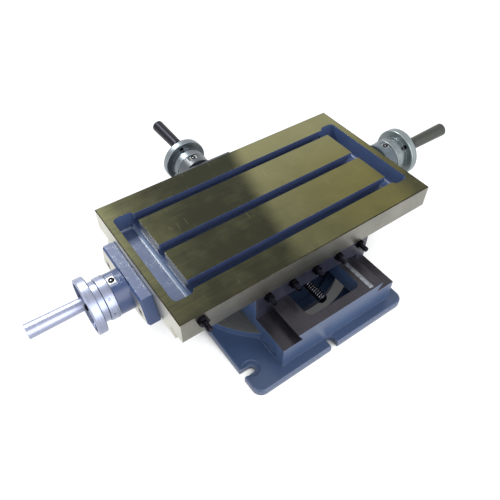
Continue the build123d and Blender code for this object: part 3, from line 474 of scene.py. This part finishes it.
strip = {  # steel strip brushed along its length to a satin grey
    "dark": "#8f929b", "light": "#b2b6bf", "grainMm": (30, 0.7, 30), "rough": (0.3, 0.4), "depthMm": 0.003,
}
blackFill = {  # matt enamel rubbed into the engraved lines
    "dark": "#17171a", "light": "#26262b", "grainMm": (0.5, 0.5, 0.5), "rough": (0.5, 0.62), "depthMm": 0.01,
    "metallic": 0.0,
}

oxideFinish = barFinish("blackOxideSteel", oxide)
fillFinish = barFinish("blackFilledEngraving", blackFill)
dress(["x_gib_nuts", "y_gib_nuts", "stop_nut", "x_nut_screws", "y_nut_screws"], oxideFinish)
dress(["x_nut", "y_nut"], barFinish("machinedBronze", bronzeLook))
dress(["y_scale", "y_scale_rivets"], barFinish("satinSteelStrip", strip))
dress(["x_gib", "y_gib"], barFinish("groundSteelStrip", steelBar))
for side, station in stations.items():
    turned = {"centre": station["centre"], "axis": station["axis"]}
    dress([f"{side}_dial", f"{side}_handwheel"], barFinish(f"turnedAluminium_{side}", {**wheelsWithPaintedShade[side], **turned}))
    dress([f"{side}_bush"], barFinish(f"turnedBronze_{side}", {**bronzeLook, **turned}))
    dress([f"{side}_thrust_washers", f"{side}_set_screws"], barFinish(f"turnedSteel_{side}", {**steelBar, **turned}))
    dress([f"{side}_bracket_screws", f"{side}_end_screw", f"{side}_handle_bolt"], oxideFinish)
    low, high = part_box(f"{side}_handle")
    dress([f"{side}_handle"], barFinish(f"platedSteelGrip_{side}", {**gripsWithPaintedShade[side], "centre": (low + high) / 2,
                                                                    "axis": station["axis"]}))


crispDegrees = 32  # an edge that turns further than this stays crisp


def addPiece(name, points, faces, material, body, slotName, *replaced):
    mesh = bpy.data.meshes.new(name)
    mesh.from_pydata(points, [], faces)
    mesh.validate()
    mesh.shade_smooth()
    mesh.set_sharp_from_angle(angle=math.radians(crispDegrees))
    mesh.materials.append(material)
    piece = bpy.data.objects.new(name, mesh)
    bpy.context.scene.collection.objects.link(piece)
    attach(piece, body)
    if replaced:
        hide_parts(*replaced)
    return piece


def threadRings(cut, majorR, start, end):  # rings of (station, radii) that wind as a helix
    pitch = cut["pitchMm"] * mm
    flank = (1 - cut["crest"] * 2) / 2
    count = max(2, round((end - start) / pitch * cut["rows"]))
    rings = []
    for i in range(count + 1):
        station = start + (end - start) * i / count
        fade = max(0, min(1, (station - start) / pitch, (end - station) / pitch))
        radii = []
        for k in range(cut["around"]):
            phase = (station / pitch - k / cut["around"]) % 1
            drop = min(1, max(0, (phase - cut["crest"]) / flank), (1 - phase) / flank)
            radii.append(majorR - cut["depthMm"] * mm * drop * fade)
        rings.append((station, radii))
    return rings


def plainRings(pairs, around):  # (station, radius) pairs as round rings
    return [(station, [radius] * around) for station, radius in pairs]


def hexRing(station, flats, around):  # a ring on a hexagon of this size across its flats
    radii = [flats / 2 / math.cos((2 * math.pi * k / around) % (math.pi / 3) - math.pi / 6) for k in range(around)]
    return [(station, radii)]


def rodParts(rods):  # rods are (origin, direction, rings); the ends are closed with a fan
    points, faces = [], []
    for origin, direction, rings in rods:
        sideways = direction.orthogonal().normalized()
        upward = direction.cross(sideways)
        around = len(rings[0][1])
        first = len(points)
        for station, radii in rings:
            for k, radius in enumerate(radii):
                turn = 2 * math.pi * k / around
                points.append(origin + direction * station
                              + (sideways * math.cos(turn) + upward * math.sin(turn)) * radius)
        for i in range(len(rings) - 1):
            for k in range(around):
                a = first + i * around + k
                b = first + i * around + (k + 1) % around
                faces.append((a, b, b + around, a + around))
        for i, flip in ((0, True), (len(rings) - 1, False)):
            middle = len(points)
            points.append(origin + direction * rings[i][0])
            for k in range(around):
                a, b = first + i * around + k, first + i * around + (k + 1) % around
                faces.append((middle, b, a) if flip else (middle, a, b))
    return points, faces


print("screw threads")
leadscrew = {
    "screwMm": 8, "journalMm": 6, "tipCutMm": 2.5,  # radii, and the chamfer at the free end
    "pitchMm": 4.0, "depthMm": 2.1, "crest": 0.37, "around": 36, "rows": 8,  # rows of points in each turn
    "collarMm": 11, "collarWideMm": 5, "collarBackMm": 1,  # Y screw's thrust collar
    "runOutMm": 12,  # plain bar between its thread and the collar
    "xHalfMm": 165,  # half the X screw's threaded length
    # Steel turned bright, darkened up to 6.3 mm from the axis, the dark thinning out towards the crests
    "finish": {**steelBar, "dark": "#6c6c76", "light": "#9c9ca8", "rootDark": "#17161b", "rootMm": 6.3, "crestMm": 7.7},
}
around = leadscrew["around"]
screwR, journalR, tipCut = leadscrew["screwMm"] * mm, leadscrew["journalMm"] * mm, leadscrew["tipCutMm"] * mm
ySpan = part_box("y_leadscrew")
yStart, yEnd = ySpan[0].y, ySpan[1].y
collarR = leadscrew["collarMm"] * mm
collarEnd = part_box("base")[1].y - leadscrew["collarBackMm"] * mm
collarStart = collarEnd - leadscrew["collarWideMm"] * mm
yRings = (plainRings([(yStart, screwR - tipCut), (yStart + tipCut, screwR)], around)
          + threadRings(leadscrew, screwR, yStart + tipCut, collarStart - leadscrew["runOutMm"] * mm)
          + plainRings([(collarStart, screwR), (collarStart, collarR), (collarEnd, collarR), (collarEnd, journalR),
                        (yEnd, journalR)], around))
yAxis = Vector((0, 0, (ySpan[0].z + ySpan[1].z) / 2))
addPiece("y_leadscrew_threaded", *rodParts([(yAxis, Vector((0, 1, 0)), yRings)]),
         barFinish("darkRootLeadscrew_y", {**leadscrew["finish"], "centre": yAxis, "axis": 1}),
         "y_screw", "ground_steel", "y_leadscrew")

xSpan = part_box("x_leadscrew")
xHalf = leadscrew["xHalfMm"] * mm
xRings = (plainRings([(xSpan[0].x, journalR), (-xHalf, journalR), (-xHalf, screwR)], around)
          + threadRings(leadscrew, screwR, -xHalf, xHalf)
          + plainRings([(xHalf, screwR), (xHalf, journalR), (xSpan[1].x, journalR)], around))
xAxis = Vector((0, 0, (xSpan[0].z + xSpan[1].z) / 2))
addPiece("x_leadscrew_threaded", *rodParts([(xAxis, Vector((1, 0, 0)), xRings)]),
         barFinish("darkRootLeadscrew_x", {**leadscrew["finish"], "centre": xAxis, "axis": 0}),
         "x_screw", "ground_steel", "x_leadscrew")

print("gib screws and stop stud")
stud = {
    "radiusMm": 4.0, "chamferMm": 0.7, "flatsMm": 4.0, "socketMm": 3.5,
    "pitchMm": 1.25, "depthMm": 0.65, "crest": 0.16, "around": 24, "rows": 6,
    "gapMm": 3.5,  # screws of one node stand further apart than this
}


def solidsOf(name, axis):  # the box of each screw in a node, told apart by the gaps along one axis
    groups = []
    for point in sorted((v.co for v in nodes[name].data.vertices), key=lambda p: p[axis]):
        if not groups or point[axis] - groups[-1][-1][axis] > stud["gapMm"] * mm:
            groups.append([])
        groups[-1].append(point)
    return [([min(p[i] for p in g) for i in range(3)], [max(p[i] for p in g) for i in range(3)]) for g in groups]


def threadedStuds(name, body, spreadAxis, direction, socket):
    around = stud["around"]
    radius, chamfer = stud["radiusMm"] * mm, stud["chamferMm"] * mm
    rods = []
    for low, high in solidsOf(name, spreadAxis):
        middle = (Vector(low) + Vector(high)) / 2
        length = abs(direction.dot(Vector(high) - Vector(low)))
        rings = (plainRings([(0, radius - chamfer), (chamfer, radius)], around)
                 + threadRings(stud, radius, chamfer, length - chamfer)
                 + plainRings([(length, radius - chamfer)], around))
        if socket:
            rings += (hexRing(length, stud["flatsMm"] * mm, around)
                      + hexRing(length - stud["socketMm"] * mm, stud["flatsMm"] * mm, around))
        rods.append((middle - direction * length / 2, direction, rings))
    addPiece(f"{name}_threaded", *rodParts(rods), oxideFinish, body, "black_steel", name)


threadedStuds("x_gib_screws", "saddle", 0, Vector((0, -1, 0)), True)
threadedStuds("y_gib_screws", "saddle", 1, Vector((1, 0, 0)), True)
threadedStuds("stop_stud", "table", 0, Vector((0, -1, 0)), False)

print("oilers")
oiler = {
    "riseMm": 1.2, "bodyMm": 3.5, "around": 32,
    "headMm": [(0, 3.5), (0, 4.5), (0.66, 4.5), (1.02, 4.15), (1.2, 3.6),  # height and radius up the outside,
               (1.2, 2.3), (0.84, 2.05), (-0.8, 1.9)],  # then down into the cup
    "ballMm": 1.9, "ballBelowMm": 0.15, "ballAround": 24, "ballRows": 12,
}
for side, station in stations.items():
    low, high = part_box(f"{side}_oiler")
    rise, ball = oiler["riseMm"] * mm, oiler["ballMm"] * mm
    seat = Vector(((low.x + high.x) / 2, (low.y + high.y) / 2, high.z - rise))
    bodyRings = plainRings([(low.z - seat.z, oiler["bodyMm"] * mm)] + [(z * mm, r * mm) for z, r in oiler["headMm"]],
                           oiler["around"])
    ballMiddle = rise - ball - oiler["ballBelowMm"] * mm
    turns = [math.pi * (i + 0.5) / oiler["ballRows"] for i in range(oiler["ballRows"])]
    ballRings = plainRings([(ballMiddle - ball * math.cos(t), ball * math.sin(t)) for t in turns],
                           oiler["ballAround"])
    addPiece(f"{side}_oiler_body", *rodParts([(seat, Vector((0, 0, 1)), bodyRings)]), oxideFinish,
             station["carrier"], "black_steel", f"{side}_oiler")
    addPiece(f"{side}_oiler_ball", *rodParts([(seat, Vector((0, 0, 1)), ballRings)]),
             barFinish(f"polishedBall_{side}", {**plated, "light": "#d4d6dd"}), station["carrier"], "polished_steel")

print("graduations")
dialLook = {
    "divisions": 80, "numberEvery": 10, "numeralMm": 2.9, "lineMm": 0.32, "proudMm": 0.05,
    "startMm": 1.2, "shortMm": 3.0, "middleMm": 4.2, "longMm": 5.6, "numeralAtMm": 8.6,
    "zeroMm": (5.4, 1.4),  # the zero line starts this far across from the oiler and in from the dial
    "zeroLineMm": (0.4, 4.0),
}
scaleLook = {
    "numeralMm": 3.2, "lineMm": 0.36, "proudMm": 0.03, "startMm": 0.3,
    "shortMm": 2.0, "middleMm": 2.7, "longMm": 3.4, "numeralAtMm": 5.2, "marginMm": 5,
}
inkMm = 0.12  # depth of the filled line; it stands a little proud so that it shows cleanly
digitHeight = 0.7  # of the font's size


def numeral(words, size):  # flat outline of a number, centred on the origin, as points and faces
    letters = bpy.data.curves.new("numeral", "FONT")
    letters.body = words
    letters.size = size / digitHeight
    letters.align_x = "CENTER"
    letters.align_y = "CENTER"
    letters.resolution_u = 3
    holder = bpy.data.objects.new("numeral", letters)
    flat = bpy.data.meshes.new_from_object(holder)
    points = [(v.co.x, v.co.y) for v in flat.vertices]
    faces = [tuple(p.vertices) for p in flat.polygons]
    bpy.data.objects.remove(holder)
    bpy.data.curves.remove(letters)
    bpy.data.meshes.remove(flat)
    return points, faces


def inlay(name, drawings, wrap, body):  # drawings are flat (points, faces); wrap puts one on the surface
    points, faces = [], []
    for flatPoints, flatFaces in drawings:
        first = len(points)
        points += [wrap(u, v) for u, v in flatPoints]
        faces += [tuple(first + i for i in face) for face in flatFaces]
    piece = addPiece(name, points, faces, fillFinish, body, "black_steel")
    thick = piece.modifiers.new("depth", "SOLIDIFY")
    thick.thickness = inkMm * mm
    thick.offset = -1
    return piece


def bar(u, v, width, length):  # a line that starts at u, v and runs along v
    return [(u - width / 2, v), (u + width / 2, v), (u + width / 2, v + length), (u - width / 2, v + length)], \
           [(0, 1, 2, 3)]


def moved(drawing, u, v):
    return [(u + x, v + y) for x, y in drawing[0]], drawing[1]


def lineLength(look, n):  # every fifth line is longer and every tenth longest
    return look["longMm" if n % 10 == 0 else "middleMm" if n % 5 == 0 else "shortMm"] * mm


for side, station in stations.items():
    low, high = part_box(f"{side}_dial")
    out, centre = station["out"], station["centre"]
    radius = (high.z - low.z) / 2
    wide = abs(out.dot(high - low))
    up = Vector((0, 0, 1))
    right = (-out).cross(up)
    proud = dialLook["proudMm"] * mm
    pitch = 2 * math.pi * radius / dialLook["divisions"]
    drawings = []
    for n in range(dialLook["divisions"]):
        line = lineLength(dialLook, n)
        drawings.append(bar(-n * pitch, wide - dialLook["startMm"] * mm - line, dialLook["lineMm"] * mm, line))
        if n % dialLook["numberEvery"] == 0:
            drawings.append(moved(numeral(str(n), dialLook["numeralMm"] * mm), -n * pitch,
                                  wide - dialLook["numeralAtMm"] * mm))

    def aroundDial(u, v):  # u runs round the dial, v along it from the wheel's side
        turn = u / radius
        return (centre + out * (wide / 2 - v)
                + (up * math.cos(turn) + right * math.sin(turn)) * (radius + proud))

    inlay(f"{side}_dial_graduations", drawings, aroundDial, f"{side}_dial")
    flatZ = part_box(f"{side}_oiler")[1].z - oiler["riseMm"] * mm + proud

    def onFlat(u, v):  # the oiler's flat, next to the dial
        place = centre + out * (wide / 2 - v) + right * u
        return Vector((place.x, place.y, flatZ))

    zeroAcross, zeroIn = dialLook["zeroMm"]
    zeroLine = bar(zeroAcross * mm, wide + zeroIn * mm, *[size * mm for size in dialLook["zeroLineMm"]])
    inlay(f"{side}_zero_line", [zeroLine], onFlat, station["carrier"])

low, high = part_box("y_scale")
margin = scaleLook["marginMm"] * mm
drawings = []
for n in range(int((high.y - low.y - 2 * margin) / mm) + 1):  # a line each millimetre, numbered from the front
    drawings.append(bar(n * mm, scaleLook["startMm"] * mm, scaleLook["lineMm"] * mm, lineLength(scaleLook, n)))
    if n % 10 == 0:
        drawings.append(moved(numeral(str(n), scaleLook["numeralMm"] * mm), n * mm, scaleLook["numeralAtMm"] * mm))
inlay("y_scale_graduations", drawings,
      lambda u, v: Vector((high.x - v, low.y + margin + u, high.z + scaleLook["proudMm"] * mm)), "base")

print("camera, floor and light")
cameraLook = {
    "place": (-0.35839, -0.45362, 0.66751),
    "turnDegrees": (41.784, -0.456, -35.467),
    "lens": 36.653,
    "sensor": 36.0,
    "clip": (0.01, 50),
}
cameraData = bpy.data.cameras.new("camera")
cameraData.lens = cameraLook["lens"]
cameraData.sensor_width = cameraLook["sensor"]
cameraData.clip_start, cameraData.clip_end = cameraLook["clip"]
camera = bpy.data.objects.new("camera", cameraData)
camera.location = cameraLook["place"]
camera.rotation_euler = [math.radians(a) for a in cameraLook["turnDegrees"]]
bpy.context.scene.collection.objects.link(camera)
bpy.context.scene.camera = camera

floorLook = {
    "half": 6.0, "grey": 0.26, "glow": 0.86, "bounce": 0.8,
    "reachMm": 130, "sheltered": (0.28, 0.45), "shelteredGlow": 0.06,  # the glow goes out under the base: a painted shadow from ambient occlusion
}
half = floorLook["half"]
floorMesh = bpy.data.meshes.new("floor")
floorMesh.from_pydata([(-half, -half, 0), (half, -half, 0), (half, half, 0), (-half, half, 0)], [], [(0, 1, 2, 3)])
floor = bpy.data.objects.new("floor", floorMesh)
bpy.context.scene.collection.objects.link(floor)


def seenRay(tree):  # 1 for what the camera, a mirror or a glass sees
    ray = addNode(tree, "ShaderNodeLightPath").outputs
    seen = ray["Is Camera Ray"]
    for kind in ("Is Glossy Ray", "Is Transmission Ray"):
        seen = addNode(tree, "ShaderNodeMath", {"operation": "MAXIMUM"}, {0: seen, 1: ray[kind]}).outputs[0]
    return seen


floorFinish, tree = startMaterial("whitePaperSweep")  # matt paper that lights to white and keeps a soft shadow, with its glow dimmed under the base as painted shadow
lit = addNode(tree, "ShaderNodeBsdfDiffuse", {"Color": (*[floorLook["grey"]] * 3, 1)})
# painted shadow: ambient occlusion dims the glow near and under the base
under = addNode(tree, "ShaderNodeAmbientOcclusion", {"samples": 16, "Distance": floorLook["reachMm"] * mm})
clear = addNode(tree, "ShaderNodeMapRange",
                {"From Min": floorLook["sheltered"][0], "From Max": floorLook["sheltered"][1],
                 "To Min": floorLook["shelteredGlow"], "To Max": floorLook["glow"]}, {"Value": under.outputs["AO"]})
glow = addNode(tree, "ShaderNodeEmission", {"Color": (1, 1, 1, 1)}, {"Strength": clear.outputs[0]})
seen = addNode(tree, "ShaderNodeAddShader", None, {0: lit.outputs[0], 1: glow.outputs[0]})
plain = addNode(tree, "ShaderNodeBsdfDiffuse", {"Color": (*[floorLook["bounce"]] * 3, 1)})
both = addNode(tree, "ShaderNodeMixShader", None, {0: seenRay(tree), 1: plain.outputs[0], 2: seen.outputs[0]})
addNode(tree, "ShaderNodeOutputMaterial", None, {"Surface": both.outputs[0]})
floorMesh.materials.append(floorFinish)

skyLook = {"tint": (0.92, 0.96, 1, 1), "strength": 0.52, "white": 1.0}
world = bpy.data.worlds.new("studio")
bpy.context.scene.world = world
world.use_nodes = True
tree = world.node_tree
tree.nodes.clear()
ambient = addNode(tree, "ShaderNodeBackground", {"Color": skyLook["tint"], "Strength": skyLook["strength"]})
white = addNode(tree, "ShaderNodeBackground", {"Color": (1, 1, 1, 1), "Strength": skyLook["white"]})
both = addNode(tree, "ShaderNodeMixShader", None, {0: seenRay(tree), 1: ambient.outputs[0], 2: white.outputs[0]})
addNode(tree, "ShaderNodeOutputWorld", None, {"Surface": both.outputs[0]})

# The key hangs high behind the left end, as the shadows in the gutters show
lamps = {
    "keyRearLeft": {"place": (-0.38, 1.25, 1.45), "size": 0.5, "watts": 29, "tint": (0.96, 0.985, 1)},
    "fillFront": {"place": (0.35, -2.1, 1.1), "size": 2.4, "watts": 54, "tint": (0.97, 0.98, 1)},
    "fillLeft": {"place": (-1.8, -0.35, 0.8), "size": 1.7, "watts": 14, "tint": (0.95, 0.97, 1)},
}
aim = Vector((0, 0, 0.08))
for name, lamp in lamps.items():
    lampData = bpy.data.lights.new(name, "AREA")
    lampData.size = lamp["size"]
    lampData.energy = lamp["watts"]
    lampData.color = lamp["tint"]
    lampObject = bpy.data.objects.new(name, lampData)
    lampObject.location = lamp["place"]
    lampObject.rotation_euler = (aim - Vector(lamp["place"])).to_track_quat("-Z", "Y").to_euler()
    bpy.context.scene.collection.objects.link(lampObject)

bpy.context.scene.view_settings.view_transform = "Standard"
